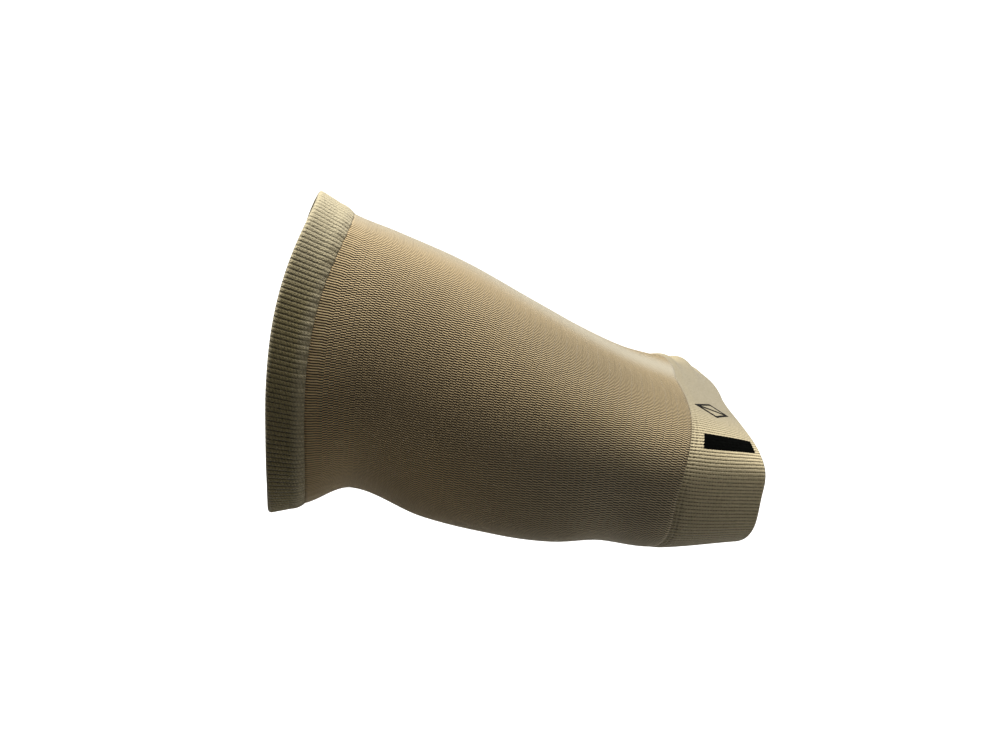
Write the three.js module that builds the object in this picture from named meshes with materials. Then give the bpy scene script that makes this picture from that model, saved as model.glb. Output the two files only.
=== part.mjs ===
// Arch support sleeve: an elastic knitted tube round the middle of a left foot, in the form it has when
// worn, with a folded band at the ankle, a ribbed band at the toes and a soft pad under the arch.
// Millimetres. +X points to the toes, +Y to the little toe's side and +Z up.
import * as THREE from "three";
import { ParametricGeometry } from "three/addons/geometries/ParametricGeometry.js";

// The sleeve as it is worn
const sleeveLength = 119; // ankle rim to toe rim, along the sole
const instepHeight = 93; // standing plane to the top of the ankle rim
const ballWidth = 90; // across the widest section, at the ball of the foot

// Knitted walls
const bodyWall = 1.2; // one layer
const ankleCuffLength = 10; // along the sole
const ankleCuffWall = 2; // two layers, the band is folded over
const ankleCuffStep = 0.7; // how far the folded band stands proud of the body
const hemRollLength = 4; // the gathered edge where the fold is sewn down
const hemRollHeight = 0.7;
const hemEdge = 0.45; // how far the hem's edge stands proud of the body
const toeCuffLength = 25; // along the sole
const toeCuffWall = 1.5;
const toeCuffStep = 0.25; // how far the ribbed band stands proud of the body
const joinGap = 0.3; // clearance between neighbouring pieces

// Pad under the arch. Its place is counted from the ankle rim along the sole, and a girth is the share
// of the way round from the sole's middle by the big toe's side.
const padLength = 62;
const padWidth = 46;
const padThickness = 7;
const padEdge = 1.2; // thickness left at its outline
const padPlace = 52;
const padGirth = 0.13;

// Plain knitted bar and crossed diamond on the toe cuff
const barLength = 13;
const barWidth = 5.3;
const barToRim = 12; // from its middle, along the sole
const barGirth = 0.352;
const signSize = 10; // corner to corner
const signStroke = 0.9;
const signToRim = 14.5;
const signGirth = 0.42;
const trimThickness = 0.4;

// How finely the faces follow the shape
const stepsAround = 64;
const bodySteps = 20;
const toeCuffSteps = 9;
const padSteps = { around: 28, across: 10 };
const barSteps = { along: 6, across: 4 };
const signSteps = 4; // along each stroke
const roundCorner = 0.3; // what a round edge's middle keeps of its radius

// Where the foot's own axis passes, which is the origin of the sleeve
const axisPlace = sleeveLength / 2;
const axisHeight = 0.32 * instepHeight;

// Sections from the ankle rim to the toe rim. along and the leads are shares of the sleeve's length,
// sole, crown and arch of the instep's height, and medial, lateral and ridge of the ball's width. The
// leads carry the crown and the two flanks ahead of the sole. ridge moves the crown to the big toe's
// side and arch lifts the sole there. The bellies are the heights of the widest places, as shares of
// the section's own height, and square is how flat the top is, 2 being round.
const sections = [
  { along: 0.0, sole: 0.02, crown: 1.0, medial: 0.33, lateral: 0.33, ridge: 0.0, arch: 0.05,
    medialBelly: 0.4, lateralBelly: 0.36, square: 2, crownLead: 0.135, medialLead: 0.02,
    lateralLead: 0.04 },
  { along: 0.09, sole: 0.02, crown: 0.93, medial: 0.34, lateral: 0.34, ridge: 0.0, arch: 0.095,
    medialBelly: 0.4, lateralBelly: 0.35, square: 2, crownLead: 0.13, medialLead: 0.025,
    lateralLead: 0.03 },
  { along: 0.19, sole: 0.01, crown: 0.88, medial: 0.34, lateral: 0.36, ridge: 0.01, arch: 0.185,
    medialBelly: 0.42, lateralBelly: 0.33, square: 2, crownLead: 0.125, medialLead: 0.04,
    lateralLead: 0.02 },
  { along: 0.34, sole: 0.01, crown: 0.79, medial: 0.36, lateral: 0.4, ridge: 0.03, arch: 0.055,
    medialBelly: 0.42, lateralBelly: 0.32, square: 2.05, crownLead: 0.13, medialLead: 0.055,
    lateralLead: 0.02 },
  { along: 0.5, sole: 0.0, crown: 0.665, medial: 0.41, lateral: 0.44, ridge: 0.06, arch: 0.01,
    medialBelly: 0.42, lateralBelly: 0.34, square: 2.1, crownLead: 0.14, medialLead: 0.08,
    lateralLead: 0.02 },
  { along: 0.6, sole: 0.0, crown: 0.585, medial: 0.44, lateral: 0.45, ridge: 0.08, arch: 0.0,
    medialBelly: 0.43, lateralBelly: 0.35, square: 2.15, crownLead: 0.15, medialLead: 0.1,
    lateralLead: 0.02 },
  { along: 0.69, sole: 0.0, crown: 0.52, medial: 0.46, lateral: 0.46, ridge: 0.09, arch: 0.02,
    medialBelly: 0.45, lateralBelly: 0.36, square: 2.2, crownLead: 0.16, medialLead: 0.12,
    lateralLead: 0.03 },
  { along: 0.79, sole: 0.0, crown: 0.47, medial: 0.5, lateral: 0.48, ridge: 0.1, arch: 0.01,
    medialBelly: 0.5, lateralBelly: 0.4, square: 2.4, crownLead: 0.16, medialLead: 0.135,
    lateralLead: 0.02 },
  { along: 1.0, sole: 0.01, crown: 0.395, medial: 0.49, lateral: 0.45, ridge: 0.08, arch: 0.02,
    medialBelly: 0.6, lateralBelly: 0.44, square: 2.8, crownLead: 0.06, medialLead: 0.115,
    lateralLead: -0.06 },
];
const soleSquareness = 3; // 2 is round
const crownBend = 4.2; // how late the crown's lead sets in above the sole
const flankBend = 1.5; // how late the flanks' leads set in beside the middle
const ridgeBend = 1.5;

// Small folds of the toe cuff on the little toe's side. along and length are shares of the sleeve's
// length, girth and width of the way round from the sole's middle by the big toe's side, and height is
// a share of foldHeight.
const foldHeight = 1.8;
const folds = [
  { along: 0.805, length: 0.016, girth: 0.6, width: 0.05, height: 0.5 },
  { along: 0.885, length: 0.03, girth: 0.62, width: 0.06, height: 1.0 },
  { along: 0.965, length: 0.02, girth: 0.63, width: 0.04, height: 0.5 },
];

// One column of the sections, drawn as a smooth line through the rows.
function columnAt(column, along) {
  const last = sections.length - 2;
  let row = 0;
  while (row < last && along > sections[row + 1].along) row += 1;
  const [before, here, next, after] = [row - 1, row, row + 1, row + 2].map(
    (k) => sections[THREE.MathUtils.clamp(k, 0, sections.length - 1)],
  );
  const span = next.along - here.along;
  const share = (along - here.along) / span;
  const slope = (a, b) => ((b[column] - a[column]) / (b.along - a.along)) * span;
  const start = slope(before, next);
  const end = slope(here, after);
  const rise = next[column] - here[column];
  return (
    here[column] +
    share * (start + share * (3 * rise - 2 * start - end + share * (start + end - 2 * rise)))
  );
}

// A point of the sleeve's outer face. turn runs from 0 at the sole's middle, by the big toe's side and
// the crown at a half, back to 1. place is in millimetres from the ankle rim.
function facePoint(place, turn) {
  const along = place / sleeveLength;
  const read = (column) => columnAt(column, along);
  const side = -Math.sin(2 * Math.PI * turn);
  const up = -Math.cos(2 * Math.PI * turn);
  const power = 2 / (up > 0 ? read("square") : soleSquareness);
  const across = Math.sign(side) * Math.abs(side) ** power;
  const rise = Math.sign(up) * Math.abs(up) ** power;
  const sole = read("sole") + (read("arch") * (1 - side)) / 2;
  const crown = read("crown");
  const bellyShare = THREE.MathUtils.lerp(read("medialBelly"), read("lateralBelly"), (1 + side) / 2);
  const belly = sole + bellyShare * (crown - sole);
  const height = belly + rise * (up > 0 ? crown - belly : belly - sole);
  const flank = side < 0 ? read("medial") : read("lateral");
  const flankLead = side < 0 ? read("medialLead") : read("lateralLead");
  const raised = Math.max(0, (height - sole) / (crown - sole));
  const lead = read("crownLead") * raised ** crownBend + flankLead * Math.abs(across) ** flankBend;
  const shift = read("ridge") * Math.max(0, up) ** ridgeBend;
  return new THREE.Vector3(
    place + sleeveLength * lead,
    ballWidth * (flank * across - shift),
    instepHeight * height,
  );
}

// Turns that lie evenly round the girth at one place, so that the knit's ribs keep their spacing.
// The big toe's half and the little toe's half are each divided by themselves.
const evenTurns = new Map();
function turnsAt(place) {
  const key = place.toFixed(4);
  if (!evenTurns.has(key)) {
    const samples = 240;
    const halves = [0, 0.5].map((start) => {
      const lengths = [0];
      let last = facePoint(place, start);
      for (let k = 1; k <= samples; k += 1) {
        const point = facePoint(place, start + (0.5 * k) / samples);
        lengths.push(lengths[k - 1] + point.distanceTo(last));
        last = point;
      }
      return lengths;
    });
    evenTurns.set(key, halves);
  }
  return evenTurns.get(key);
}

function turnOf(place, girth) {
  const around = girth - Math.floor(girth);
  const half = around < 0.5 ? 0 : 1;
  const lengths = turnsAt(place)[half];
  const wanted = (2 * around - half) * lengths[lengths.length - 1];
  let k = 1;
  while (k < lengths.length - 1 && lengths[k] < wanted) k += 1;
  const share = (wanted - lengths[k - 1]) / (lengths[k] - lengths[k - 1]);
  return 0.5 * (half + (k - 1 + share) / (lengths.length - 1));
}

function girthAt(place) {
  return turnsAt(place).reduce((sum, lengths) => sum + lengths[lengths.length - 1], 0);
}

// How far the folds of the toe cuff lift the knit at one spot.
function foldLift(place, girth) {
  return folds.reduce((sum, fold) => {
    const ahead = (place / sleeveLength - fold.along) / fold.length;
    const beside = (girth - fold.girth) / fold.width;
    return sum + foldHeight * fold.height * Math.exp(-(ahead ** 2) - beside ** 2);
  }, 0);
}

// The point that lies depth millimetres inside the outer face, or outside it where depth is negative.
function pointAt(place, girth, depth) {
  const small = 0.05;
  const turn = turnOf(place, girth);
  const ahead = facePoint(place + small, turn).sub(facePoint(place - small, turn));
  const round = facePoint(place, turn + 0.001).sub(facePoint(place, turn - 0.001));
  const outward = ahead.cross(round).normalize();
  return facePoint(place, turn).addScaledVector(outward, foldLift(place, girth) - depth);
}

// A closed wall that runs round the whole foot. Its profile is a loop of [place, depth] points that
// goes to the toes on the outer face and comes back on the inner face.
function ringWall(profile) {
  const spin = (u, v, target) => {
    const [place, depth] = profile[Math.round(u * profile.length) % profile.length];
    target.copy(pointAt(place, v % 1, depth));
  };
  return new ParametricGeometry(spin, profile.length, stepsAround);
}

function evenly(from, to, steps) {
  return Array.from({ length: steps + 1 }, (_, k) => from + ((to - from) * k) / steps);
}

// Bends a flat shape round the sleeve. Its x runs along the foot, its y round it to the crown, and its
// z out of the knit, and its own origin goes to the given place, girth and depth.
function laidOn(geometry, place, girth, depth) {
  const stretch = pointAt(place + 0.5, girth, depth).distanceTo(pointAt(place - 0.5, girth, depth));
  const spots = geometry.attributes.position;
  for (let k = 0; k < spots.count; k += 1) {
    const here = place + spots.getX(k) / stretch;
    const round = girth + spots.getY(k) / girthAt(place);
    const spot = pointAt(here, round, depth - spots.getZ(k));
    spots.setXYZ(k, spot.x, spot.y, spot.z);
  }
  geometry.computeVertexNormals();
  return geometry;
}

const bodyStart = ankleCuffLength + joinGap;
const bodyEnd = sleeveLength - toeCuffLength - joinGap;

function sleeveBody() {
  const outer = evenly(bodyStart, bodyEnd, bodySteps);
  return ringWall([
    ...outer.map((place) => [place, 0]),
    ...outer.reverse().map((place) => [place, bodyWall]),
  ]);
}

// The folded band: a round fold at the rim, a straight band, and the gathered roll at its hem.
function ankleCuff() {
  const proud = -ankleCuffStep;
  const inner = ankleCuffWall - ankleCuffStep;
  const rimRound = ankleCuffWall / 2;
  const rollStart = ankleCuffLength - hemRollLength;
  const roll = [
    { along: 0.3, height: 0.75 },
    { along: 0.6, height: 1 },
    { along: 0.88, height: 0.6 },
  ];
  return ringWall([
    [0, proud + rimRound],
    [roundCorner * rimRound, proud + roundCorner * rimRound],
    [rimRound, proud],
    [rollStart, proud],
    ...roll.map((spot) => [rollStart + spot.along * hemRollLength, proud - spot.height * hemRollHeight]),
    [ankleCuffLength, -hemEdge],
    [ankleCuffLength, inner],
    [rollStart, inner],
    [rimRound, inner],
    [roundCorner * rimRound, inner - roundCorner * rimRound],
  ]);
}

function toeCuff() {
  const start = sleeveLength - toeCuffLength;
  const proud = -toeCuffStep;
  const inner = toeCuffWall - toeCuffStep;
  const rimRound = toeCuffWall / 2;
  const outer = evenly(start + rimRound, sleeveLength - rimRound, toeCuffSteps);
  return ringWall([
    [start, 0],
    ...outer.map((place) => [place, proud]),
    [sleeveLength, proud + rimRound],
    ...outer.reverse().map((place) => [place, inner]),
    [start, inner],
  ]);
}

// The pad is a flattened ball: its outer half lies against the sleeve and its inner half stands up
// into the foot's arch.
function archPad() {
  const ball = new THREE.SphereGeometry(1, padSteps.around, padSteps.across).rotateX(Math.PI / 2);
  const edgeBand = 0.25; // the share of the ball's height that becomes the pad's edge
  const domeBend = 1.3; // above 1 the dome thins out softly
  const spots = ball.attributes.position;
  for (let k = 0; k < spots.count; k += 1) {
    const up = spots.getZ(k);
    const edge = (padEdge * (1 - THREE.MathUtils.clamp(up / edgeBand, -1, 1))) / 2;
    const dome = (padThickness - padEdge) * Math.max(0, -up) ** domeBend;
    spots.setXYZ(k, (spots.getX(k) * padLength) / 2, (spots.getY(k) * padWidth) / 2, -edge - dome);
  }
  return laidOn(ball, padPlace, padGirth, bodyWall + joinGap);
}

// Height of the trims' undersides above the toe cuff's own face, as a depth
const trimDepth = -toeCuffStep - joinGap;

function sideBar() {
  const bar = new THREE.BoxGeometry(barLength, barWidth, trimThickness, barSteps.along, barSteps.across);
  bar.translate(0, 0, trimThickness / 2);
  return laidOn(bar, sleeveLength - barToRim, barGirth, trimDepth);
}

// An outline through the given corners, with each of its sides cut into equal steps.
function stepped(corners) {
  return corners.flatMap(([x, y], k) => {
    const [nextX, nextY] = corners[(k + 1) % corners.length];
    return evenly(0, 1, signSteps)
      .slice(0, -1)
      .map((t) => new THREE.Vector2(THREE.MathUtils.lerp(x, nextX, t), THREE.MathUtils.lerp(y, nextY, t)));
  });
}

// A diamond with one stroke across it, cut out of it as two triangles.
function cuffSign() {
  const reach = signSize / 2;
  const inner = reach - Math.SQRT2 * signStroke;
  const half = signStroke / 2;
  const shape = new THREE.Shape(stepped([[reach, 0], [0, reach], [-reach, 0], [0, -reach]]));
  for (const side of [1, -1]) {
    const triangle = [[inner - half, side * half], [0, side * inner], [half - inner, side * half]];
    shape.holes.push(new THREE.Path(stepped(triangle)));
  }
  const plate = new THREE.ExtrudeGeometry(shape, { depth: trimThickness, bevelEnabled: false });
  return laidOn(plate, sleeveLength - signToRim, signGirth, trimDepth);
}

const knit = { color: 0xb9a981, roughness: 0.9, metalness: 0 };
const pieces = {
  sleeve_body: [sleeveBody(), knit],
  ankle_cuff: [ankleCuff(), { ...knit, color: 0xb3a37c }],
  toe_cuff: [toeCuff(), { ...knit, color: 0xbcae88 }],
  arch_pad: [archPad(), { color: 0xd8c9a8, roughness: 0.5, metalness: 0 }],
  side_bar: [sideBar(), { color: 0x121212, roughness: 0.85, metalness: 0 }],
  cuff_sign: [cuffSign(), { color: 0x1a1815, roughness: 0.8, metalness: 0 }],
};

const sleeve = new THREE.Group();
for (const [name, [geometry, finish]] of Object.entries(pieces)) {
  const mesh = new THREE.Mesh(geometry, new THREE.MeshStandardMaterial(finish));
  mesh.name = name;
  sleeve.add(mesh);
}
sleeve.position.set(-axisPlace, 0, -axisHeight);

export default sleeve;
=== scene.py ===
import math

import bmesh
import bpy
import numpy as np
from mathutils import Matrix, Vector


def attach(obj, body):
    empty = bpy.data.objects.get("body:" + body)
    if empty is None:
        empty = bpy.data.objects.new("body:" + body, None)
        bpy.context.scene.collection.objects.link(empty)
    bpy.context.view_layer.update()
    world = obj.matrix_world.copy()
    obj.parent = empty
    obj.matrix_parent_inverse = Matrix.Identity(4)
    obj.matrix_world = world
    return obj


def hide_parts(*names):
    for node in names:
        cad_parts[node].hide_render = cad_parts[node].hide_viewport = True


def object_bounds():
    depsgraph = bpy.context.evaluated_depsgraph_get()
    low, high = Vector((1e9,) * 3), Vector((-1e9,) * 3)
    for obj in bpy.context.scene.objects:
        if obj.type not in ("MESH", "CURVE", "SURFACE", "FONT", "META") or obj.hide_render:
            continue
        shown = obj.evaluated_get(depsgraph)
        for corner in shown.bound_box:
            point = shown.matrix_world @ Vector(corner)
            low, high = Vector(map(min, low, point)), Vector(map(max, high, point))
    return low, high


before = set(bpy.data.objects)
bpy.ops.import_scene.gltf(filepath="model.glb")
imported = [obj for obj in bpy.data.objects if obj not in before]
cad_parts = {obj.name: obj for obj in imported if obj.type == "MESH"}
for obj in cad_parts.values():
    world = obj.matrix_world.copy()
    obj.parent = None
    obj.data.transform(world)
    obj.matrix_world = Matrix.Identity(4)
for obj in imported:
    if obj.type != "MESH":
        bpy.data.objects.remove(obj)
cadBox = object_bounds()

print("frame loaded:", len(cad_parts), "nodes")

mm = 0.001

# Worn form of the sleeve. Lengths are in millimetres.
wornForm = {
    "sleeveLength": 119,  # ankle rim to toe rim along the underside
    "instepHeight": 93,
    "ballWidth": 90,
    "axisShare": 0.32,  # height of the origin above the underside, as a share of the whole height
    "soleSquareness": 3,
    "crownBend": 4.2,
    "flankBend": 1.5,
    "ridgeBend": 1.5,
}

# One column for each property, one entry for each section from the ankle rim to the toe rim.
sections = {
    "along": [0.0, 0.09, 0.19, 0.34, 0.5, 0.6, 0.69, 0.79, 1.0],
    "sole": [0.02, 0.02, 0.01, 0.01, 0.0, 0.0, 0.0, 0.0, 0.01],
    "crown": [1.0, 0.93, 0.88, 0.79, 0.665, 0.585, 0.52, 0.47, 0.395],
    "medial": [0.33, 0.34, 0.34, 0.36, 0.41, 0.44, 0.46, 0.5, 0.49],
    "lateral": [0.33, 0.34, 0.36, 0.4, 0.44, 0.45, 0.46, 0.48, 0.45],
    "ridge": [0.0, 0.0, 0.01, 0.03, 0.06, 0.08, 0.09, 0.1, 0.08],
    "arch": [0.05, 0.095, 0.185, 0.055, 0.01, 0.0, 0.02, 0.01, 0.02],
    "medialBelly": [0.4, 0.4, 0.42, 0.42, 0.42, 0.43, 0.45, 0.5, 0.6],
    "lateralBelly": [0.36, 0.35, 0.33, 0.32, 0.34, 0.35, 0.36, 0.4, 0.44],
    "square": [2, 2, 2, 2.05, 2.1, 2.15, 2.2, 2.4, 2.8],
    "crownLead": [0.135, 0.13, 0.125, 0.13, 0.14, 0.15, 0.16, 0.16, 0.06],
    "medialLead": [0.02, 0.025, 0.04, 0.055, 0.08, 0.1, 0.12, 0.135, 0.115],
    "lateralLead": [0.04, 0.03, 0.02, 0.02, 0.02, 0.02, 0.03, 0.02, -0.06],
    "drift": [0, 0, 0.001, 0.01, 0.027, 0.036, 0.041, 0.04, 0.034],  # climb of the rows on the flanks
}

# Small folds of the toe cuff on the lateral side, placed by shares of the length and of the girth.
folds = {
    "lift": 1.8,
    "along": [0.805, 0.885, 0.965],
    "length": [0.016, 0.03, 0.02],
    "girth": [0.6, 0.62, 0.63],
    "width": [0.05, 0.06, 0.04],
    "height": [0.5, 1.0, 0.5],
}


# Smooth line through one column of the sections.
def column(name, along):
    knots = np.array(sections["along"])
    values = np.array(sections[name], dtype=float)
    last = len(knots) - 1
    row = np.clip(np.searchsorted(knots, along, side="right") - 1, 0, last - 1)
    before, after = np.maximum(row - 1, 0), np.minimum(row + 2, last)
    span = knots[row + 1] - knots[row]
    share = (along - knots[row]) / span
    start = (values[row + 1] - values[before]) / (knots[row + 1] - knots[before]) * span
    end = (values[after] - values[row]) / (knots[after] - knots[row]) * span
    rise = values[row + 1] - values[row]
    bend = 3 * rise - 2 * start - end + share * (start + end - 2 * rise)
    return values[row] + share * (start + share * bend)


# Points of the outer face in millimetres: x from the ankle rim, z from the underside. turn is 0 at the
# underside's middle and runs up the medial side.
def facePoint(place, turn):
    along = place / wornForm["sleeveLength"]
    side, up = -np.sin(2 * np.pi * turn), -np.cos(2 * np.pi * turn)
    power = 2 / np.where(up > 0, column("square", along), wornForm["soleSquareness"])
    across = np.sign(side) * np.abs(side) ** power
    rise = np.sign(up) * np.abs(up) ** power
    sole = column("sole", along) + column("arch", along) * (1 - side) / 2
    crown = column("crown", along)
    medialBelly, lateralBelly = column("medialBelly", along), column("lateralBelly", along)
    belly = sole + (medialBelly + (lateralBelly - medialBelly) * (1 + side) / 2) * (crown - sole)
    height = belly + rise * np.where(up > 0, crown - belly, belly - sole)
    flank = np.where(side < 0, column("medial", along), column("lateral", along))
    flankLead = np.where(side < 0, column("medialLead", along), column("lateralLead", along))
    raised = np.maximum(0, (height - sole) / (crown - sole))
    lead = column("crownLead", along) * raised ** wornForm["crownBend"]
    lead = lead + flankLead * np.abs(across) ** wornForm["flankBend"]
    shift = column("ridge", along) * np.maximum(0, up) ** wornForm["ridgeBend"]
    return np.stack([
        place + wornForm["sleeveLength"] * lead,
        wornForm["ballWidth"] * (flank * across - shift),
        wornForm["instepHeight"] * height,
    ], axis=-1)


# Table of the turns that lie evenly round the girth, so that the ribs keep their spacing.
evenGirth = {"margin": 4, "step": 1, "samples": 960, "columns": 1440, "ringPoints": 361, "reserve": 0.001}


def makeTurnTable():
    margin = evenGirth["margin"]
    places = np.arange(-margin, wornForm["sleeveLength"] + margin + 1, evenGirth["step"])
    halves = np.linspace(0, 0.5, evenGirth["samples"] + 1)
    wanted = np.linspace(0, 1, evenGirth["columns"] // 2 + 1)
    rows = []
    for place in places:
        row = []
        for start in (0, 0.5):
            points = facePoint(np.full(halves.shape, float(place)), start + halves)
            steps = np.linalg.norm(np.diff(points, axis=0), axis=1)
            lengths = np.concatenate([[0], np.cumsum(steps)])
            row.append(np.interp(wanted * lengths[-1], lengths, start + halves))
        rows.append(np.concatenate([row[0][:-1], row[1]]))
    return places, np.array(rows)


tablePlaces, tableTurns = makeTurnTable()
print("girth table made")


# Turn at a share of the girth. The reserve keeps the lookup inside the table's last row.
def turnFor(place, girth):
    lastRow = len(tablePlaces) - 1 - evenGirth["reserve"]
    down = np.clip((place - tablePlaces[0]) / evenGirth["step"], 0, lastRow)
    over = (girth % 1) * (tableTurns.shape[1] - 1)
    row, col = down.astype(int), np.minimum(over.astype(int), tableTurns.shape[1] - 2)
    down, over = down - row, over - col
    near = tableTurns[row, col] * (1 - over) + tableTurns[row, col + 1] * over
    far = tableTurns[row + 1, col] * (1 - over) + tableTurns[row + 1, col + 1] * over
    return near * (1 - down) + far * down


def foldLift(place, girth):
    total = np.zeros(np.broadcast(place, girth).shape)
    for k, along in enumerate(folds["along"]):
        ahead = (place / wornForm["sleeveLength"] - along) / folds["length"][k]
        beside = (girth - folds["girth"][k]) / folds["width"][k]
        total += folds["lift"] * folds["height"][k] * np.exp(-(ahead ** 2) - beside ** 2)
    return total


# Small steps, along the sleeve in millimetres and round it in turns, that give the face's direction
probe = {"along": 0.05, "round": 0.001}


# Points in metres in the part's own frame, at the given depths in millimetres below the outer face.
def pointAt(place, girth, depth):
    place, girth, depth = np.broadcast_arrays(*(np.asarray(v, dtype=float) for v in (place, girth, depth)))
    turn = turnFor(place, girth)
    ahead = facePoint(place + probe["along"], turn) - facePoint(place - probe["along"], turn)
    around = facePoint(place, turn + probe["round"]) - facePoint(place, turn - probe["round"])
    outward = np.cross(ahead, around)
    outward /= np.linalg.norm(outward, axis=-1, keepdims=True)
    points = facePoint(place, turn) + outward * (foldLift(place, girth) - depth)[..., None]
    origin = [wornForm["sleeveLength"] / 2, 0, wornForm["axisShare"] * wornForm["instepHeight"]]
    return (points - origin) * mm


# Girth at which a lengthwise row of loops runs at a place. On both flanks the rows climb to the toe rim.
def rowGirth(place, row):
    climb = column("drift", np.asarray(place, dtype=float) / wornForm["sleeveLength"])
    return row + climb * np.sin(2 * np.pi * np.asarray(row))


def girthLength(place):
    ring = pointAt(place, np.linspace(0, 1, evenGirth["ringPoints"]), 0)
    return np.linalg.norm(np.diff(ring, axis=0), axis=1).sum() / mm


def finishPiece(name, bm, material, smooth=True):
    bmesh.ops.recalc_face_normals(bm, faces=bm.faces)
    for face in bm.faces:
        face.smooth = smooth
    mesh = bpy.data.meshes.new(name)
    bm.to_mesh(mesh)
    bm.free()
    piece = bpy.data.objects.new(name, mesh)
    bpy.context.scene.collection.objects.link(piece)
    mesh.materials.append(material)
    return piece


# A tube with a closed knitted wall: a circle that is extruded from ring to ring of its profile. Each
# ring has a place, a depth and how much of the relief it takes. The UV map holds millimetres of knit.
def knitTube(name, rings, around, roundLength, relief, material):
    bm = bmesh.new()
    rows = np.arange(around) / around
    stepLayer = bm.verts.layers.int.new("step")
    ringLayer = bm.verts.layers.int.new("ring")
    first = bmesh.ops.create_circle(bm, segments=around, radius=1)["verts"]
    for k, vert in enumerate(first):
        vert[stepLayer] = k
    ringVerts, ringEdges = first, list(bm.edges)
    firstEdges = ringEdges
    for number, (place, depth, share) in enumerate(rings):
        if number:
            grown = bmesh.ops.extrude_edge_only(bm, edges=ringEdges)["geom"]
            ringVerts = [part for part in grown if isinstance(part, bmesh.types.BMVert)]
            fresh = set(ringVerts)
            ringEdges = [
                part for part in grown
                if isinstance(part, bmesh.types.BMEdge) and part.verts[0] in fresh and part.verts[1] in fresh
            ]
        slip, lift = relief(place, rows)
        points = pointAt(place + share * slip, rowGirth(place, rows), depth - share * lift)
        for vert in ringVerts:
            vert.co = points[vert[stepLayer]]
            vert[ringLayer] = number
    bmesh.ops.bridge_loops(bm, edges=ringEdges + firstEdges)
    uvLayer = bm.loops.layers.uv.new("knit")
    for face in bm.faces:
        steps = [loop.vert[stepLayer] for loop in face.loops]
        wraps = max(steps) - min(steps) > around // 2
        for loop, step in zip(face.loops, steps):
            share = 1 if wraps and step == 0 else step / around
            loop[uvLayer].uv = (rings[loop.vert[ringLayer]][0], share * roundLength)
    return finishPiece(name, bm, material)


# Bends a flat shape, drawn in millimetres with x along the sleeve and y round it, onto the sleeve's face.
def layOn(bm, place, girth, depthAt):
    ahead = pointAt(place + 0.5, girth, 0) - pointAt(place - 0.5, girth, 0)
    stretch = np.linalg.norm(ahead) / mm  # real length of one millimetre of place
    flat = np.array([vert.co[:] for vert in bm.verts])
    places = place + flat[:, 0] / stretch
    middleRow = girth
    for again in range(6):  # comes close to the row that runs through the shape's middle
        middleRow += girth - float(rowGirth(place, middleRow))
    rows = middleRow + flat[:, 1] / girthLength(place)
    points = pointAt(places, rowGirth(places, rows), depthAt(places, rows) - flat[:, 2])
    for vert, point in zip(bm.verts, points):
        vert.co = point


# Linear light of an sRGB hex colour
def linear(hexColour):
    channels = [int(hexColour[k:k + 2], 16) / 255 for k in (1, 3, 5)]
    return [c / 12.92 if c <= 0.04045 else ((c + 0.055) / 1.055) ** 2.4 for c in channels] + [1]


# Adds a node, sets its properties, and links or fills its inputs.
def addNode(tree, kind, inputs, **settings):
    node = tree.nodes.new(kind)
    for name, value in settings.items():
        setattr(node, name, value)
    for socket, value in inputs.items():
        if isinstance(value, bpy.types.NodeSocket):
            tree.links.new(value, node.inputs[socket])
        else:
            node.inputs[socket].default_value = value
    return node


def newMaterial(name):
    material = bpy.data.materials.new(name)
    material.use_nodes = True
    tree = material.node_tree
    tree.nodes.clear()
    return material, tree


def closeMaterial(tree, shader):
    addNode(tree, "ShaderNodeOutputMaterial", {"Surface": shader.outputs["BSDF"]})


# Fine fibres stand off the nylon yarn, which gives it a soft pale edge and nearly no shine.
yarnFinish = {
    "Sheen Weight": 0.45,
    "Sheen Roughness": 0.5,
    "Sheen Tint": linear("#F7F0E2"),
    "Specular IOR Level": 0.2,
}

# Nylon and elastane tricot, stretched wide: light dashes of yarn that run along the sleeve, in columns that
# alternate like bricks, with dark openings between them. By the ankle hem they are unbroken lines.
bodyKnit = {
    "rows": 318,
    "roundLength": 231,  # rows of 0.73 mm; the real ones are about 0.55, too fine to show
    "dashLength": 1.25,
    "jogWidth": 0.15,  # how softly one column of dashes passes into the next
    "wanderScale": 160,
    "sway": 0.8,  # how unevenly the dashes end
    "unbroken": [12, 15],  # the dashes begin between these places
    "lineShare": 0.62,  # strength of the unbroken lines against the dashes
    "thread": "#CAB284",
    # The next colour is painted light: a paler thread for the highlight over the crown and for light from
    # below on the underside.
    "paintedLightThread": "#E6DABD",
    "gap": "#2A1D0E",
    "yarnRange": [-0.6, 0.5],  # heights of the weave between which the openings turn to yarn
    "warm": "#F6D7A0",
    "warmFade": [38, 72],  # the yarn is thinner and warmer on the ankle's half than near the toe cuff
    "warmMost": 0.75,
    "cloudScale": 18,
    "clouds": [0.35, 0.7, 0.3],  # range of the noise, and the most warmth that it adds
    "relief": 0.2,
    "roughness": 0.85,
    "closed": 0.25,  # what is left of the pattern where the knit isn't stretched open
    "crownAt": 0.53,  # share of the round at the top
    "soleOpens": [0.12, 0.27],  # shares of the round away from the underside's middle
    "crownCloses": [0.36, 0.5],
    # Where the painted light lies: over the crown, and on the underside near the toe cuff
    "paintedCrown": [0.43, 0.5],
    "paintedSole": [0.3, 0.18],
    "paintedSoleFade": [42, 78, 0.5],  # painted light from below: the underside is paler only near the toe cuff
}
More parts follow.
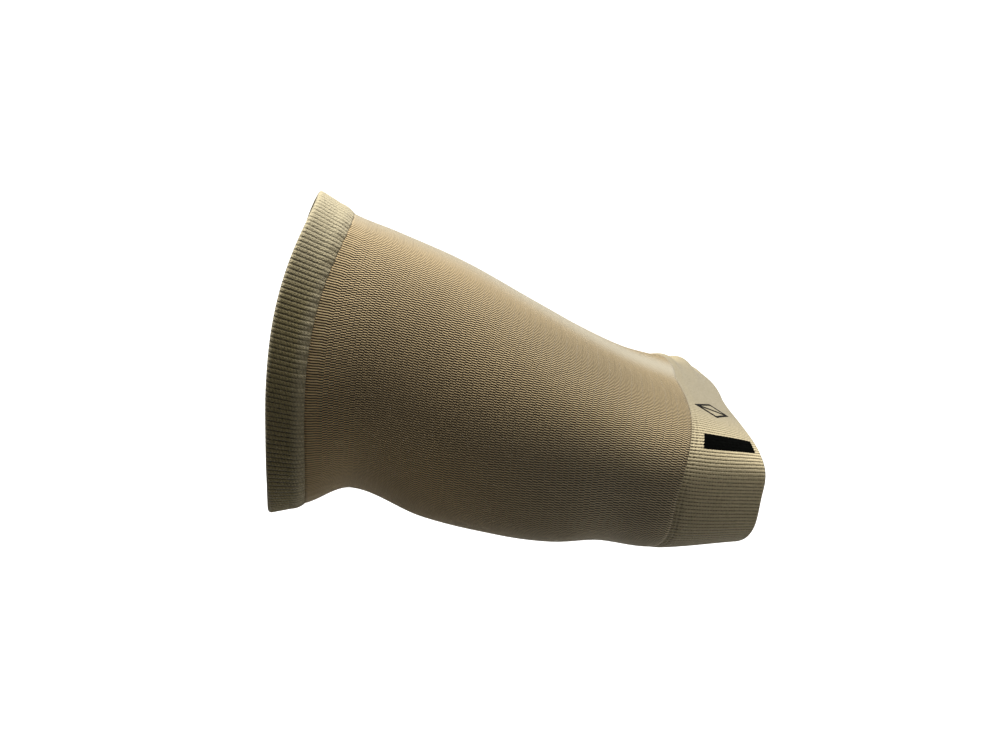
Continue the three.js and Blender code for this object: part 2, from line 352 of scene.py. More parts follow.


# How far the knit is stretched open: fully on the flanks, least over the crown and on the underside. The
# second value is the share of painted light and shade: a paler or darker thread colour over the crown and on
# the underside, which stands in for how the light falls there.
def stretchNodes(tree, axes, look):
    share = addNode(tree, "ShaderNodeMath", {
        0: axes.outputs["Y"], 1: 1 / look["roundLength"], 2: 0.5 - look["crownAt"],
    }, operation="MULTIPLY_ADD")
    away = addNode(tree, "ShaderNodeMath", {0: share.outputs[0], 1: 0.5}, operation="PINGPONG")
    rising = addNode(tree, "ShaderNodeMapRange", {
        "Value": away.outputs[0], "From Min": look["soleOpens"][0], "From Max": look["soleOpens"][1],
        "To Min": look["closed"],
    }, interpolation_type="SMOOTHSTEP")
    falling = addNode(tree, "ShaderNodeMapRange", {
        "Value": away.outputs[0], "From Min": look["crownCloses"][1], "From Max": look["crownCloses"][0],
        "To Min": look["closed"],
    }, interpolation_type="SMOOTHSTEP")
    openness = addNode(tree, "ShaderNodeMath", {
        0: rising.outputs[0], 1: falling.outputs[0],
    }, operation="MULTIPLY")
    # Painted light over the crown
    paintedLight = addNode(tree, "ShaderNodeMapRange", {
        "Value": away.outputs[0], "From Min": look["paintedCrown"][0], "From Max": look["paintedCrown"][1],
    }, interpolation_type="SMOOTHSTEP")
    # Painted light on the underside, growing towards the toe cuff
    nearToeCuff = addNode(tree, "ShaderNodeMapRange", {
        "Value": axes.outputs["X"], "From Min": look["paintedSoleFade"][0], "From Max": look["paintedSoleFade"][1],
        "To Max": look["paintedSoleFade"][2],
    })
    underside = addNode(tree, "ShaderNodeMapRange", {
        "Value": away.outputs[0], "From Min": look["paintedSole"][0], "From Max": look["paintedSole"][1],
        "To Max": nearToeCuff.outputs[0],
    }, interpolation_type="SMOOTHSTEP")
    paintedLight = addNode(tree, "ShaderNodeMath", {
        0: paintedLight.outputs[0], 1: underside.outputs[0],
    }, operation="MAXIMUM")
    return openness, paintedLight


def bodyKnitMaterial():
    look = bodyKnit
    material, tree = newMaterial("stretched tricot knit")
    uv = addNode(tree, "ShaderNodeUVMap", {}, uv_map="knit")
    axes = addNode(tree, "ShaderNodeSeparateXYZ", {"Vector": uv.outputs["UV"]})
    position = addNode(tree, "ShaderNodeTexCoord", {})
    wander = addNode(tree, "ShaderNodeTexNoise", {
        "Vector": position.outputs["Object"], "Scale": look["wanderScale"], "Detail": 0,
    })
    dashSway = addNode(tree, "ShaderNodeMath", {
        0: wander.outputs["Fac"], 1: look["sway"],
    }, operation="MULTIPLY")
    dashTurn = addNode(tree, "ShaderNodeMath", {
        0: axes.outputs["X"], 1: math.pi / look["dashLength"], 2: dashSway.outputs[0],
    }, operation="MULTIPLY_ADD")
    dashWave = addNode(tree, "ShaderNodeMath", {0: dashTurn.outputs[0]}, operation="COSINE")
    halfTurn = addNode(tree, "ShaderNodeMapRange", {
        "Value": dashWave.outputs[0], "From Min": -look["jogWidth"], "From Max": look["jogWidth"],
        "To Min": math.pi, "To Max": 0,
    }, interpolation_type="SMOOTHSTEP")
    broken = addNode(tree, "ShaderNodeMapRange", {
        "Value": axes.outputs["X"], "From Min": look["unbroken"][0], "From Max": look["unbroken"][1],
    }, interpolation_type="SMOOTHSTEP")
    jog = addNode(tree, "ShaderNodeMath", {
        0: halfTurn.outputs[0], 1: broken.outputs[0], 2: wander.outputs["Fac"],
    }, operation="MULTIPLY_ADD")
    rowTurn = addNode(tree, "ShaderNodeMath", {
        0: axes.outputs["Y"], 1: 2 * math.pi * look["rows"] / look["roundLength"], 2: jog.outputs[0],
    }, operation="MULTIPLY_ADD")
    rowWave = addNode(tree, "ShaderNodeMath", {0: rowTurn.outputs[0]}, operation="COSINE")
    strength = addNode(tree, "ShaderNodeMapRange", {"Value": broken.outputs[0], "To Min": look["lineShare"]})
    checker = addNode(tree, "ShaderNodeMath", {
        0: rowWave.outputs[0], 1: strength.outputs[0],
    }, operation="MULTIPLY")
    openness, paintedLight = stretchNodes(tree, axes, look)
    lattice = addNode(tree, "ShaderNodeMath", {
        0: checker.outputs[0], 1: openness.outputs[0],
    }, operation="MULTIPLY")
    height = addNode(tree, "ShaderNodeMapRange", {"Value": lattice.outputs[0], "From Min": -1, "From Max": 1})
    yarn = addNode(tree, "ShaderNodeMapRange", {
        "Value": lattice.outputs[0], "From Min": look["yarnRange"][0], "From Max": look["yarnRange"][1],
    }, interpolation_type="SMOOTHSTEP")
    cloudy = addNode(tree, "ShaderNodeTexNoise", {
        "Vector": position.outputs["Object"], "Scale": look["cloudScale"], "Detail": 3,
    })
    clouds = addNode(tree, "ShaderNodeMapRange", {
        "Value": cloudy.outputs["Fac"], "From Min": look["clouds"][0], "From Max": look["clouds"][1],
        "To Max": look["clouds"][2],
    })
    overInstep = addNode(tree, "ShaderNodeMapRange", {
        "Value": axes.outputs["X"], "From Min": look["warmFade"][1], "From Max": look["warmFade"][0],
        "To Max": look["warmMost"],
    }, interpolation_type="SMOOTHSTEP")
    warmShare = addNode(tree, "ShaderNodeMath", {
        0: clouds.outputs[0], 1: overInstep.outputs[0],
    }, use_clamp=True)
    mixed = addNode(tree, "ShaderNodeMix", {
        0: warmShare.outputs[0], 6: linear(look["thread"]), 7: linear(look["warm"]),
    }, data_type="RGBA")
    # Painted light: the thread turns to a paler colour over the crown and on the underside.
    thread = addNode(tree, "ShaderNodeMix", {
        0: paintedLight.outputs[0], 6: mixed.outputs[2], 7: linear(look["paintedLightThread"]),
    }, data_type="RGBA")
    colour = addNode(tree, "ShaderNodeMix", {
        0: yarn.outputs[0], 6: linear(look["gap"]), 7: thread.outputs[2],
    }, data_type="RGBA")
    bump = addNode(tree, "ShaderNodeBump", {"Height": height.outputs[0], "Distance": look["relief"] * mm})
    shader = addNode(tree, "ShaderNodeBsdfPrincipled", {
        "Base Color": colour.outputs[2], "Roughness": look["roughness"], "Normal": bump.outputs["Normal"],
        **yarnFinish,
    })
    closeMaterial(tree, shader)
    return material


# Rib knit of the same yarn. The ribs are in the mesh. Drawn here are slanted loops on each rib, fuzz, and
# dark stitch holes in a row along each groove, which the eye reads as broken dark lines. The ribs lie about
# 1.3 mm apart on the ankle cuff and 1.0 mm on the toe cuff.
ribKnits = {
    "ankle": {
        "name": "folded rib knit", "ribs": 184, "roundLength": 240, "ribHeight": 0.07,
        "loopLength": 0.8, "loopHeight": 0.38, "slant": 3.6, "turnPerRib": 0.4, "fuzz": 0.85,
        # The second thread colour is painted highlight, over the cuff's top and in its pale bands.
        "thread": "#A99A6C", "paintedLightThread": "#D6C8A2", "gap": "#100C06", "relief": 0.16,
        "grooveShade": 0.35, "grooveDepth": 1.9,
        "paleBands": [[1.1, 0.4, 0.75], [6.2, 8.6, 0.8]],  # start, end and strength, at the rim and the hem; the hem's band is painted light on the roll's shaded side
        "holeRows": [],
        "closed": 0.35, "crownAt": 0.5, "soleOpens": [0.06, 0.16], "crownCloses": [0.38, 0.46],
        "paintedCrown": [0.33, 0.46], "paintedSole": [0.14, 0.02], "paintedSoleFade": [0, 1, 0],
    },
    "toe": {
        "name": "single rib knit", "ribs": 214, "roundLength": 220, "ribHeight": 0.05,
        "loopLength": 0.8, "loopHeight": 0.08, "slant": 1.6, "turnPerRib": 0.28, "fuzz": 0.5,
        # The second thread colour is painted shade, darker over the cuff's top and its underside.
        "thread": "#EFDDB0", "paintedLightThread": "#A2977B", "gap": "#4A3D28", "relief": 0.15,
        "grooveShade": 0.4, "grooveDepth": 1.2,
        "paleBands": [[118.2, 118.8, 0.75]],
        "holeRows": [94.4, 95.5], "holeShade": 0.75,  # the seam's stitches
        "closed": 0.15, "crownAt": 0.5, "soleOpens": [-0.1, 0.0], "crownCloses": [0.31, 0.41],
        "paintedCrown": [0.28, 0.42], "paintedSole": [0.31, 0.18], "paintedSoleFade": [0, 1, 0.7],
    },
}

# What both rib knits share. Distances from a rib's crest are shares of a rib, and its groove is at 0.5.
ribPattern = {
    "roughness": 0.88,
    "wanderScale": 350,
    "fuzzScale": 2000,
    "groove": [0.2, 0.46],
    "stitchHole": [-0.4, 0.8],  # part of each loop's wave that darkens into a hole
    "seamReach": [0.45, 0.1],  # millimetres from a row of holes
    "seamHole": [0.15, 0.4],
    "seamShade": 0.1,
    "yarnRange": [-0.9, 0.75],
}


def ribKnitMaterial(look):
    shared = ribPattern
    material, tree = newMaterial(look["name"])
    uv = addNode(tree, "ShaderNodeUVMap", {}, uv_map="knit")
    axes = addNode(tree, "ShaderNodeSeparateXYZ", {"Vector": uv.outputs["UV"]})
    position = addNode(tree, "ShaderNodeTexCoord", {})
    ribs = addNode(tree, "ShaderNodeMath", {
        0: axes.outputs["Y"], 1: look["ribs"] / look["roundLength"],
    }, operation="MULTIPLY")
    toGroove = addNode(tree, "ShaderNodeMath", {0: ribs.outputs[0], 1: 0.5}, operation="PINGPONG")
    wander = addNode(tree, "ShaderNodeTexNoise", {
        "Vector": position.outputs["Object"], "Scale": shared["wanderScale"], "Detail": 2,
    })
    fuzz = addNode(tree, "ShaderNodeTexNoise", {
        "Vector": position.outputs["Object"], "Scale": shared["fuzzScale"], "Detail": 2,
    })
    slant = addNode(tree, "ShaderNodeMath", {
        0: toGroove.outputs[0], 1: look["slant"] * 2, 2: wander.outputs["Fac"],
    }, operation="MULTIPLY_ADD")
    stagger = addNode(tree, "ShaderNodeMath", {
        0: ribs.outputs[0], 1: 2 * math.pi * look["turnPerRib"], 2: slant.outputs[0],
    }, operation="MULTIPLY_ADD")
    loopTurn = addNode(tree, "ShaderNodeMath", {
        0: axes.outputs["X"], 1: 2 * math.pi / look["loopLength"], 2: stagger.outputs[0],
    }, operation="MULTIPLY_ADD")
    loopWave = addNode(tree, "ShaderNodeMath", {0: loopTurn.outputs[0]}, operation="COSINE")
    groove = addNode(tree, "ShaderNodeMapRange", {
        "Value": toGroove.outputs[0], "From Min": shared["groove"][0], "From Max": shared["groove"][1],
    }, interpolation_type="SMOOTHSTEP")
    stitchHoles = addNode(tree, "ShaderNodeMapRange", {
        "Value": loopWave.outputs[0], "To Min": look["grooveShade"],
        "From Min": shared["stitchHole"][0], "From Max": shared["stitchHole"][1],
    })
    hole = addNode(tree, "ShaderNodeMath", {
        0: groove.outputs[0], 1: stitchHoles.outputs[0],
    }, operation="MULTIPLY")
    for row in look["holeRows"]:
        away = addNode(tree, "ShaderNodeMath", {0: axes.outputs["X"], 1: row}, operation="SUBTRACT")
        distance = addNode(tree, "ShaderNodeMath", {0: away.outputs[0]}, operation="ABSOLUTE")
        near = addNode(tree, "ShaderNodeMapRange", {
            "Value": distance.outputs[0], "To Max": look["holeShade"],
            "From Min": shared["seamReach"][0], "From Max": shared["seamReach"][1],
        }, interpolation_type="SMOOTHSTEP")
        stitched = addNode(tree, "ShaderNodeMapRange", {
            "Value": toGroove.outputs[0], "To Min": shared["seamShade"],
            "From Min": shared["seamHole"][0], "From Max": shared["seamHole"][1],
        })
        deep = addNode(tree, "ShaderNodeMath", {
            0: near.outputs[0], 1: stitched.outputs[0],
        }, operation="MULTIPLY")
        hole = addNode(tree, "ShaderNodeMath", {0: hole.outputs[0], 1: deep.outputs[0]}, operation="MAXIMUM")
    openness, paintedLight = stretchNodes(tree, axes, look)
    depth = addNode(tree, "ShaderNodeMath", {
        0: openness.outputs[0], 1: look["grooveDepth"],
    }, operation="MULTIPLY")
    hole = addNode(tree, "ShaderNodeMath", {0: hole.outputs[0], 1: depth.outputs[0]}, operation="MULTIPLY")
    swing = addNode(tree, "ShaderNodeMath", {
        0: openness.outputs[0], 1: look["loopHeight"],
    }, operation="MULTIPLY")
    loops = addNode(tree, "ShaderNodeMath", {
        0: loopWave.outputs[0], 1: swing.outputs[0],
    }, operation="MULTIPLY")
    raised = addNode(tree, "ShaderNodeMath", {
        0: fuzz.outputs["Fac"], 1: look["fuzz"] * 2, 2: loops.outputs[0],
    }, operation="MULTIPLY_ADD")
    height = addNode(tree, "ShaderNodeMath", {0: raised.outputs[0], 1: hole.outputs[0]}, operation="SUBTRACT")
    yarn = addNode(tree, "ShaderNodeMapRange", {
        "Value": height.outputs[0], "From Min": shared["yarnRange"][0], "From Max": shared["yarnRange"][1],
    })
    # Bands along the cuff lift the yarn and add to the painted light; at the ankle hem this is painted light
    # on the roll's shaded side.
    for start, end, most in look["paleBands"]:
        band = addNode(tree, "ShaderNodeMapRange", {
            "Value": axes.outputs["X"], "From Min": start, "From Max": end, "To Max": most,
        })
        yarn = addNode(tree, "ShaderNodeMath", {0: yarn.outputs[0], 1: band.outputs[0]}, operation="MAXIMUM")
        paintedLight = addNode(tree, "ShaderNodeMath", {
            0: paintedLight.outputs[0], 1: band.outputs[0],
        }, operation="MAXIMUM")
    # Painted light and shade: the thread turns to the painted colour, paler over the ankle cuff, darker over
    # the toe cuff.
    thread = addNode(tree, "ShaderNodeMix", {
        0: paintedLight.outputs[0], 6: linear(look["thread"]), 7: linear(look["paintedLightThread"]),
    }, data_type="RGBA")
    colour = addNode(tree, "ShaderNodeMix", {
        0: yarn.outputs[0], 6: linear(look["gap"]), 7: thread.outputs[2],
    }, data_type="RGBA")
    bump = addNode(tree, "ShaderNodeBump", {"Height": height.outputs[0], "Distance": look["relief"] * mm})
    shader = addNode(tree, "ShaderNodeBsdfPrincipled", {
        "Base Color": colour.outputs[2], "Roughness": shared["roughness"], "Normal": bump.outputs["Normal"],
        **yarnFinish,
    })
    closeMaterial(tree, shader)
    return material


# Silicone gel, cast in a smooth mould: soft shine and a little light passing into it.
def gelMaterial():
    material, tree = newMaterial("cast silicone gel")
    position = addNode(tree, "ShaderNodeTexCoord", {})
    mottle = addNode(tree, "ShaderNodeTexNoise", {
        "Vector": position.outputs["Object"], "Scale": 220, "Detail": 3,
    })
    colour = addNode(tree, "ShaderNodeMix", {
        0: mottle.outputs["Fac"], 6: linear("#C9B48C"), 7: linear("#DCCBA8"),
    }, data_type="RGBA")
    bump = addNode(tree, "ShaderNodeBump", {
        "Height": mottle.outputs["Fac"], "Strength": 0.3, "Distance": 0.1 * mm,
    })
    shader = addNode(tree, "ShaderNodeBsdfPrincipled", {
        "Base Color": colour.outputs[2], "Roughness": 0.42, "Normal": bump.outputs["Normal"], "IOR": 1.41,
        "Subsurface Weight": 0.15, "Subsurface Scale": 0.004,
    })
    closeMaterial(tree, shader)
    return material


# Dense black rib knit, worked into the cuff with a dyed yarn: nearly no light comes back from it.
def blackKnitMaterial():
    material, tree = newMaterial("dyed black knit")
    position = addNode(tree, "ShaderNodeTexCoord", {})
    fibre = addNode(tree, "ShaderNodeTexNoise", {
        "Vector": position.outputs["Object"], "Scale": 1400, "Detail": 2,
    })
    colour = addNode(tree, "ShaderNodeMix", {
        0: fibre.outputs["Fac"], 6: linear("#030303"), 7: linear("#10110F"),
    }, data_type="RGBA")
    bump = addNode(tree, "ShaderNodeBump", {
        "Height": fibre.outputs["Fac"], "Strength": 0.8, "Distance": 0.15 * mm,
    })
    shader = addNode(tree, "ShaderNodeBsdfPrincipled", {
        "Base Color": colour.outputs[2], "Roughness": 0.9, "Normal": bump.outputs["Normal"],
        "Specular IOR Level": 0,
    })
    closeMaterial(tree, shader)
    return material


# Black heat transfer film pressed into the knit: a dull skin that breaks a little over the loops.
def printMaterial():
    material, tree = newMaterial("pressed black print")
    position = addNode(tree, "ShaderNodeTexCoord", {})
    grain = addNode(tree, "ShaderNodeTexNoise", {
        "Vector": position.outputs["Object"], "Scale": 900, "Detail": 2,
    })
    colour = addNode(tree, "ShaderNodeMix", {
        0: grain.outputs["Fac"], 6: linear("#030303"), 7: linear("#0F0F0D"),
    }, data_type="RGBA")
    shader = addNode(tree, "ShaderNodeBsdfPrincipled", {
        "Base Color": colour.outputs[2], "Roughness": 0.7, "Specular IOR Level": 0.1,
    })
    closeMaterial(tree, shader)
    return material


def spread(start, end, steps):
    return list(np.linspace(start, end, steps + 1))


# The knitted tube between the two bands
sleeveBody = {
    "start": 10.02,
    "end": 93.98,
    "wall": 1.2,
    "around": 360,
    "outerRings": 120,
    "innerRings": 30,
    "pleats": 60,  # fine tension lines that run out of the ankle hem
    "pleatHeight": 0.06,
    "pleatReach": 6,
    "pleatSway": 2.2,  # how unevenly they are spaced
    "swayWaves": 7,
}


def makeSleeveBody():
    size = sleeveBody

    def relief(place, rows):
        fade = math.exp(-max(0, place - size["start"]) / size["pleatReach"])
        sway = size["pleatSway"] * np.sin(2 * np.pi * size["swayWaves"] * rows)
        lift = size["pleatHeight"] * fade * np.cos(2 * np.pi * size["pleats"] * rows + sway)
        return np.zeros(rows.shape), lift

    rings = [(place, 0, 1) for place in spread(size["start"], size["end"], size["outerRings"])]
    rings += [(place, size["wall"], 0) for place in spread(size["end"], size["start"], size["innerRings"])]
    roundLength = bodyKnit["roundLength"]
    return knitTube("sleeve_body_knit", rings, size["around"], roundLength, relief, bodyKnitMaterial())


ribRoundness = 0.8  # below 1 the ribs are broad and the grooves narrow


def ribShape(rows, ribs):
    return np.abs(np.cos(np.pi * ribs * rows)) ** ribRoundness - 1


# How far a rim wanders along the sleeve: one broad and one short wave round it
def rimWander(size, rows):
    (broad, short), (broadStart, shortStart) = size["waves"], size["starts"]
    wave = np.sin(2 * np.pi * broad * rows + broadStart)
    wave = wave + size["shortShare"] * np.sin(2 * np.pi * short * rows + shortStart)
    return size["wander"] * wave / 2


# The folded band at the ankle with its gathered hem
ankleCuff = {
    "length": 10,
    "wall": 2,
    "step": 0.7,  # how far the band stands proud of the body
    "rollLength": 4,
    "rollHeight": 0.22,
    "rollBend": 1.2,
    "hemEdge": 0.06,
    "hemTaper": 1.7,
    "gathers": 57,
    "gatherHeight": 0.12,
    "gatherReach": 2,
    "gatherSway": 3,
    "stepsPerRib": 6,
    "wander": 0.25,  # how unevenly the rim runs
    "waves": [3, 11],
    "starts": [1, 0],
    "shortShare": 0.6,
    "rings": {"rim": 5, "band": 8, "roll": 12, "inside": 8, "innerRim": 4},
}


def makeAnkleCuff():
    size, look = ankleCuff, ribKnits["ankle"]
    count = size["rings"]
    rimRound = size["wall"] / 2
    rollStart = size["length"] - size["rollLength"]
    inner = size["wall"] - size["step"]

    def relief(place, rows):
        nearHem = math.exp(-((place - size["length"]) / size["gatherReach"]) ** 2)
        sway = size["gatherSway"] * np.sin(2 * np.pi * size["waves"][0] * rows)
        gathers = size["gatherHeight"] * nearHem * np.sin(2 * np.pi * size["gathers"] * rows + sway)
        lift = look["ribHeight"] * ribShape(rows, look["ribs"]) + gathers
        return rimWander(size, rows) * (1 - place / size["length"]), lift

    rings = []
    for angle in spread(-90, 0, count["rim"]):
        turn = math.radians(angle)
        depth = -size["step"] + rimRound * (1 - math.cos(turn))
        rings.append((rimRound * (1 + math.sin(turn)), depth, math.cos(turn)))
    rings += [(place, -size["step"], 1) for place in spread(rimRound, rollStart, count["band"])[1:]]
    for share in spread(0, 1, count["roll"])[1:]:
        swell = math.sin(math.pi * share) ** size["rollBend"]
        edge = (size["step"] - size["hemEdge"]) * share ** size["hemTaper"]
        depth = -size["step"] - size["rollHeight"] * swell + edge
        rings.append((rollStart + share * size["rollLength"], depth, 1))
    rings.append((size["length"], inner, 0))
    rings += [(place, inner, 0) for place in spread(size["length"], rimRound, count["inside"])[1:]]
    for angle in spread(180, 270, count["innerRim"])[1:-1]:
        turn = math.radians(angle)
        rings.append((rimRound * (1 + math.sin(turn)), inner - rimRound * (1 + math.cos(turn)), 0))
    around = look["ribs"] * size["stepsPerRib"]
    return knitTube("ankle_cuff_rib", rings, around, look["roundLength"], relief, ribKnitMaterial(look))


# The ribbed band at the other end, with two rows of stitch holes where it joins the body
toeCuff = {
    "start": 94,
    "end": 119,
    "wall": 1.5,
    "step": 0.25,  # how far the band stands proud of the body
    "rise": 3,  # length over which the band comes up from the body's face
    "ribStart": 1.5,  # length over which the ribs grow
    "stepsPerRib": 6,
    "holeDepth": 0.12,
    "holeSize": 0.22,
    "holeBend": 0.5,
    "closedCrown": 0.1,  # share of the round on either side of the crown that has no holes
    "crownFade": 0.08,
    "wander": 0.2,  # how unevenly the rim runs
    "waves": [4, 13],
    "starts": [2, 0],
    "shortShare": 0.5,
    "rings": {"seam": 15, "band": 26, "rim": 6, "inside": 10},
}


def makeToeCuff():
    size, look = toeCuff, ribKnits["toe"]
    count = size["rings"]
    rimRound = size["wall"] / 2
    inner = size["wall"] - size["step"]

    def relief(place, rows):
        nearRim = max(0, (place - size["start"]) / (size["end"] - size["start"]))
        grown = min(1, max(0, (place - size["start"]) / size["ribStart"]))
        lift = look["ribHeight"] * grown * ribShape(rows, look["ribs"])
        belowCrown = np.clip((np.abs(rows - 0.5) - size["closedCrown"]) / size["crownFade"], 0, 1)
        for row in look["holeRows"]:
            holes = belowCrown * np.maximum(0, -np.cos(2 * np.pi * look["ribs"] * rows)) ** size["holeBend"]
            lift = lift - size["holeDepth"] * math.exp(-((place - row) / size["holeSize"]) ** 2) * holes
        return rimWander(size, rows) * nearRim, lift

    seamEnd = size["start"] + size["rise"]
    rings = []
    for place in spread(size["start"], seamEnd, count["seam"]):
        share = (place - size["start"]) / size["rise"]
        rings.append((place, -size["step"] * share * share * (3 - 2 * share), 1))
    rimStart = size["end"] - rimRound
    rings += [(place, -size["step"], 1) for place in spread(seamEnd, rimStart, count["band"])[1:]]
    for angle in spread(0, 180, count["rim"])[1:]:
        turn = math.radians(angle)
        depth = -size["step"] + rimRound * (1 - math.cos(turn))
        rings.append((rimStart + rimRound * math.sin(turn), depth, max(0, math.cos(turn))))
    rings += [(place, inner, 0) for place in spread(rimStart, size["start"], count["inside"])[1:]]
    around = look["ribs"] * size["stepsPerRib"]
    return knitTube("toe_cuff_rib", rings, around, look["roundLength"], relief, ribKnitMaterial(look))


# The soft arch pad, laid inside the body's underside
archPad = {
    "length": 62,
    "width": 46,
    "thickness": 7,
    "edge": 1.2,
    "edgeBlend": 0.25,  # share of its height over which the rounded edge passes into the dome
    "domeBend": 1.3,
    "place": 52,
    "girth": 0.13,
    "depth": 1.5,
    "segments": [96, 48],
}


def makeArchPad():
    size = archPad
    bm = bmesh.new()
    around, across = size["segments"]
    bmesh.ops.create_uvsphere(bm, u_segments=around, v_segments=across, radius=1)
    for vert in bm.verts:
        up = vert.co.z
        edge = size["edge"] * (1 - max(-1, min(1, up / size["edgeBlend"]))) / 2
        dome = (size["thickness"] - size["edge"]) * max(0, -up) ** size["domeBend"]
        vert.co = (vert.co.x * size["length"] / 2, vert.co.y * size["width"] / 2, -edge - dome)
    layOn(bm, size["place"], size["girth"], lambda places, girths: size["depth"])
    return finishPiece("arch_pad_gel", bm, gelMaterial())


# Height of the toe cuff's ribs at any spot, so that the trims follow them
def cuffFace(places, rows):
    return -toeCuff["step"] - ribKnits["toe"]["ribHeight"] * ribShape(rows, ribKnits["toe"]["ribs"])


# The plain black bar, with edges that step from rib to rib
sideBar = {
    "length": 13,
    "width": 5.3,
    "toRim": 12,
    "girth": 0.352,
    "proud": 0.08,
    "thickness": 0.3,
    "ragged": 0.06,
    "raggedWaves": [0.9, 1.1],  # along and across
    "raggedBend": 8,  # keeps the ragged part to the very edge
    "segments": [64, 40],
}


def makeSideBar():
    size = sideBar
    bm = bmesh.new()
    lengthwise, crosswise = size["segments"]
    bmesh.ops.create_grid(bm, x_segments=lengthwise, y_segments=crosswise, size=0.5)
    alongWave, acrossWave = size["raggedWaves"]
    ragged, bend = size["ragged"], size["raggedBend"]
    for vert in bm.verts:
        x, y = vert.co.x * size["length"], vert.co.y * size["width"]
        x += ragged * math.sin(2 * math.pi * y / acrossWave) * abs(2 * vert.co.x) ** bend
        y += ragged * math.sin(2 * math.pi * x / alongWave) * abs(2 * vert.co.y) ** bend
        vert.co = (x, y, size["proud"])
    layOn(bm, wornForm["sleeveLength"] - size["toRim"], size["girth"], cuffFace)
    bmesh.ops.solidify(bm, geom=bm.faces[:], thickness=size["thickness"] * mm)
    return finishPiece("side_bar_knit", bm, blackKnitMaterial())


# The diamond with one stroke across it
cuffSign = {
    "size": 10,  # corner to corner
    "stroke": 0.75,
    "toRim": 14.5,
    "girth": 0.42,
    "proud": 0.06,
    "thickness": 0.2,
    "cuts": 15,
    "strokeSegments": [24, 4],
}


def makeCuffSign():
    size = cuffSign
    bm = bmesh.new()
    bmesh.ops.create_circle(bm, segments=4, radius=size["size"] / 2)
    bmesh.ops.subdivide_edges(bm, edges=bm.edges[:], cuts=size["cuts"])
    grown = bmesh.ops.extrude_edge_only(bm, edges=bm.edges[:])["geom"]
    innerRing = [part for part in grown if isinstance(part, bmesh.types.BMVert)]
    shrink = 1 - 2 ** 0.5 * size["stroke"] / (size["size"] / 2)
    bmesh.ops.scale(bm, verts=innerRing, vec=(shrink, shrink, 1))
    lengthwise, crosswise = size["strokeSegments"]
    stroke = bmesh.ops.create_grid(bm, x_segments=lengthwise, y_segments=crosswise, size=0.5)["verts"]
    bmesh.ops.scale(bm, verts=stroke, vec=(size["size"] * shrink, size["stroke"], 1))
    for vert in bm.verts:
        vert.co.z = size["proud"]
    place = wornForm["sleeveLength"] - size["toRim"]
    layOn(bm, place, size["girth"], lambda places, rows: -toeCuff["step"])
    bmesh.ops.solidify(bm, geom=bm.faces[:], thickness=size["thickness"] * mm)
    return finishPiece("cuff_sign_print", bm, printMaterial())


def placePiece(piece, node):
    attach(piece, "root")
    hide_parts(node)
    return piece


body = placePiece(makeSleeveBody(), "sleeve_body")
print("sleeve body made")
ankle = placePiece(makeAnkleCuff(), "ankle_cuff")
print("ankle cuff made")
toe = placePiece(makeToeCuff(), "toe_cuff")
print("toe cuff made")
pad = placePiece(makeArchPad(), "arch_pad")
placePiece(makeSideBar(), "side_bar")
placePiece(makeCuffSign(), "cuff_sign")
print("pad, bar and sign made")

# Studio: a pale floor well below the held sleeve, a broad soft light from above and behind, and a weak
# even light from all round. The floor's own light doesn't reach the sleeve.
studio = {
    "floorDrop": 0.22,
    "floorSize": 15,
    "floorColour": "#F4F4F4",
    "keyPower": 6.1,
    "keyTilt": 24,  # degrees from overhead, away from the camera
    "keyTurn": -6,  # degrees from overhead, where less than 0 leans to the ankle rim
    "keySpread": 56,
    "evenLight": 0.07,
    "weakLamps": [
        {
            "name": "bounce", "power": 0.042, "size": 0.4,
            "from": (0.26, -0.1, -0.18), "to": (0, 0, 0),
        },
        {
            "name": "toe_side", "power": 0.045, "size": 0.1,
            "from": (0.18, -0.125, -0.035), "to": (0.045, -0.03, 0),
        },
    ],
}


def aimAt(thing, target):
    thing.rotation_euler = (Vector(target) - thing.location).to_track_quat("-Z", "Y").to_euler()


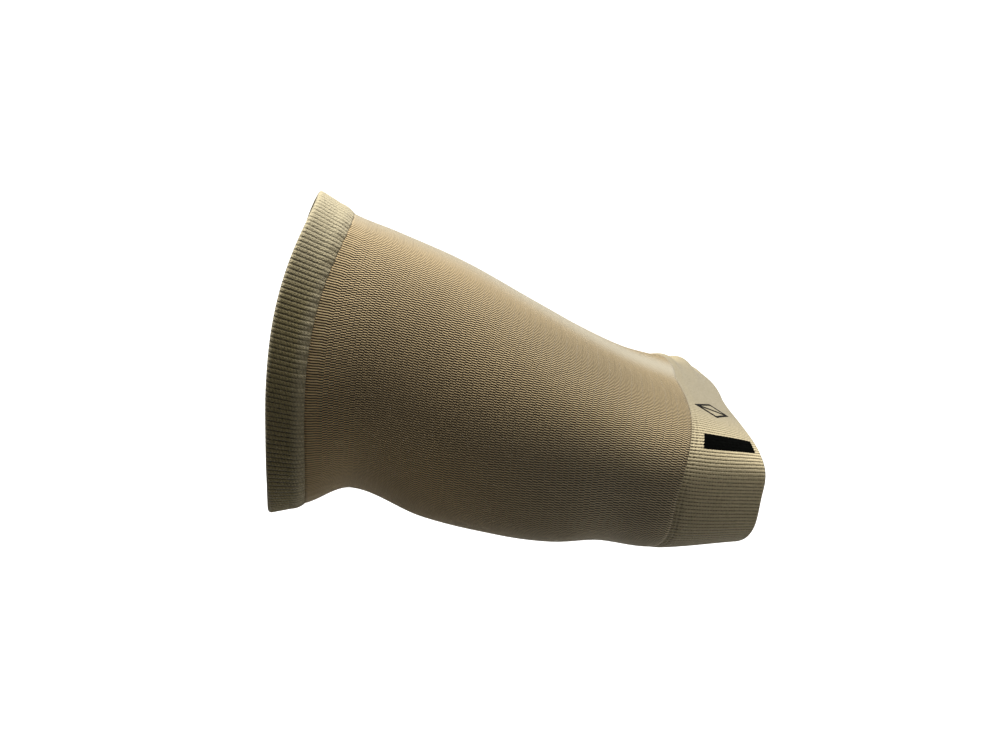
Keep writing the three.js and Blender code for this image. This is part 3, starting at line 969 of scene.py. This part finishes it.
def makeStudio():
    bm = bmesh.new()
    bmesh.ops.create_grid(bm, x_segments=1, y_segments=1, size=studio["floorSize"])
    for vert in bm.verts:
        vert.co.z = cadBox[0][2] - studio["floorDrop"]
    material, tree = newMaterial("matt white paper")
    shader = addNode(tree, "ShaderNodeBsdfPrincipled", {
        "Base Color": linear(studio["floorColour"]), "Roughness": 0.9,
    })
    closeMaterial(tree, shader)
    floor = finishPiece("floor", bm, material, smooth=False)
    floor.visible_diffuse = False
    lamp = bpy.data.lights.new("key", "SUN")
    lamp.energy, lamp.angle = studio["keyPower"], math.radians(studio["keySpread"])
    key = bpy.data.objects.new("key", lamp)
    back, ahead = (math.tan(math.radians(studio[angle])) for angle in ("keyTilt", "keyTurn"))
    key.location = Vector((ahead, back, 1))
    bpy.context.scene.collection.objects.link(key)
    aimAt(key, (0, 0, 0))
    for weak in studio["weakLamps"]:
        lamp = bpy.data.lights.new(weak["name"], "AREA")
        lamp.energy, lamp.size = weak["power"], weak["size"]
        holder = bpy.data.objects.new(weak["name"], lamp)
        holder.location = weak["from"]
        holder.visible_camera = False
        bpy.context.scene.collection.objects.link(holder)
        aimAt(holder, weak["to"])
    world = bpy.data.worlds.new("studio")
    world.use_nodes = True
    tree = world.node_tree
    tree.nodes.clear()
    path = addNode(tree, "ShaderNodeLightPath", {})
    strength = addNode(tree, "ShaderNodeMapRange", {
        "Value": path.outputs["Is Camera Ray"], "To Min": studio["evenLight"],
    })
    background = addNode(tree, "ShaderNodeBackground", {
        "Color": (1, 1, 1, 1), "Strength": strength.outputs[0],
    })
    addNode(tree, "ShaderNodeOutputWorld", {"Surface": background.outputs[0]})
    bpy.context.scene.world = world
    bpy.context.scene.view_settings.view_transform = "Standard"


# The camera stands 600 mm away on the medial side, 20 degrees above the sleeve.
view = {"distance": 0.6, "elevation": 20, "target": (0.0055, 0, 0.0113), "lens": 77.76, "sensor": 36}


def makeCamera():
    camera = bpy.data.cameras.new("camera")
    camera.lens, camera.sensor_width = view["lens"], view["sensor"]
    holder = bpy.data.objects.new("camera", camera)
    tilt = math.radians(view["elevation"])
    offset = Vector((0, -math.cos(tilt), math.sin(tilt))) * view["distance"]
    holder.location = Vector(view["target"]) + offset
    bpy.context.scene.collection.objects.link(holder)
    aimAt(holder, view["target"])
    bpy.context.scene.camera = holder


makeStudio()
makeCamera()
print("studio and camera made")
